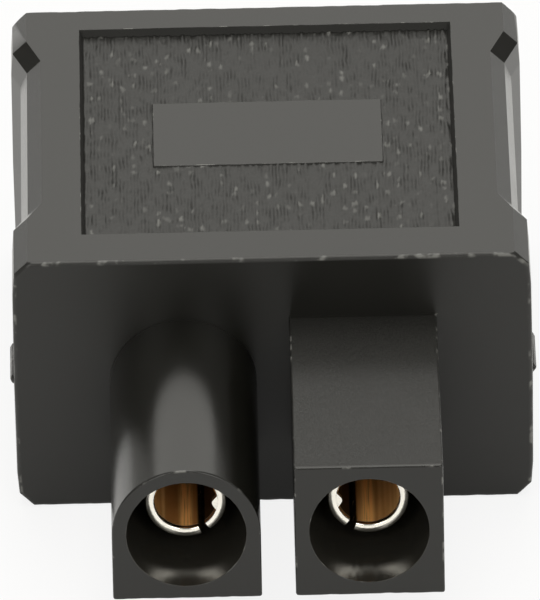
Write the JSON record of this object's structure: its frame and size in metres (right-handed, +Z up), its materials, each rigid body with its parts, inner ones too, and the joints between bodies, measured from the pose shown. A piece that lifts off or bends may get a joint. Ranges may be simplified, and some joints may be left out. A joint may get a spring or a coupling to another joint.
{
  "type": "battery connector adapter",
  "caption": "Small black moulded adapter that joins a two-pin battery plug, on the sleeve contacts in its front posts, to a flat-blade plug in the keyed socket of its rear end, with a waisted, textured grip.",
  "frame": {"origin": "centre of the bounding box on the plane the body rests on", "axes": "+X to the right seen from the posts, +Y towards the rear socket, +Z up"},
  "size_m": [0.0228, 0.0346, 0.0123],
  "materials": {
    "black_moulding": "semi-gloss moulded",
    "gold_plate": "polished plating"
  },
  "bodies": {
    "root": {"housing": "black_moulding", "contact_left": "gold_plate", "contact_right": "gold_plate"}
  },
  "joints": []
}
